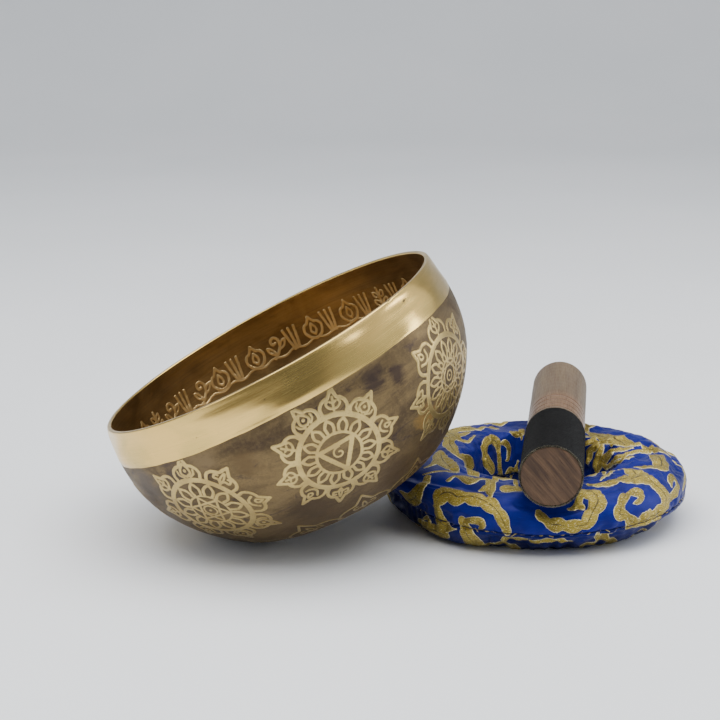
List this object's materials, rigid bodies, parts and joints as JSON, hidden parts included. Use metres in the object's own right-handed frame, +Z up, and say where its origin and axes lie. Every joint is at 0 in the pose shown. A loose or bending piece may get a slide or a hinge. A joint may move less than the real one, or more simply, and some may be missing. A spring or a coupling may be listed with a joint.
{
  "type": "singing bowl",
  "caption": "Bronze singing bowl leaning on a stuffed brocade ring cushion, with a wooden striker in a suede sleeve lying across the ring; bowl and striker lift off.",
  "frame": {"origin": "on the surface that the set stands on, under the middle of the whole set's box", "axes": "+Z up, +X from the bowl towards the cushion, +Y from the striker's padded end towards its handle's end, roughly"},
  "size_m": [0.3018, 0.212, 0.1446],
  "materials": {
    "bell_bronze": "hand-hammered, dark mottled patina with a polished band under the lip and fine raised ornament",
    "walnut": "turned and lightly sanded, unvarnished",
    "suede": "charcoal suede with a short nap",
    "brocade_top": "blue satin ground with gold woven scrolls",
    "brocade_under": "the same brocade, facing down",
    "wadding": "loose cotton fibre",
    "seam_thread": "twisted cotton sewing thread",
    "gather_thread": "twisted cotton sewing thread"
  },
  "bodies": {
    "cushion": {"cushion_filling": "wadding", "cushion_top_cover": "brocade_top", "cushion_bottom_cover": "brocade_under", "cushion_seam_thread": "seam_thread", "cushion_gather_thread": "gather_thread"},
    "bowl": {"bowl": "bell_bronze"},
    "striker": {"striker_stick": "walnut", "striker_suede_sleeve": "suede"}
  },
  "joints": [
    {"name": "bowl_lift", "type": "slide", "parent": "cushion", "child": "bowl", "axis": [0, 0, 1], "range_m": [0, 0.15]},
    {"name": "striker_lift", "type": "slide", "parent": "cushion", "child": "striker", "axis": [0, 0, 1], "range_m": [0, 0.12]}
  ]
}
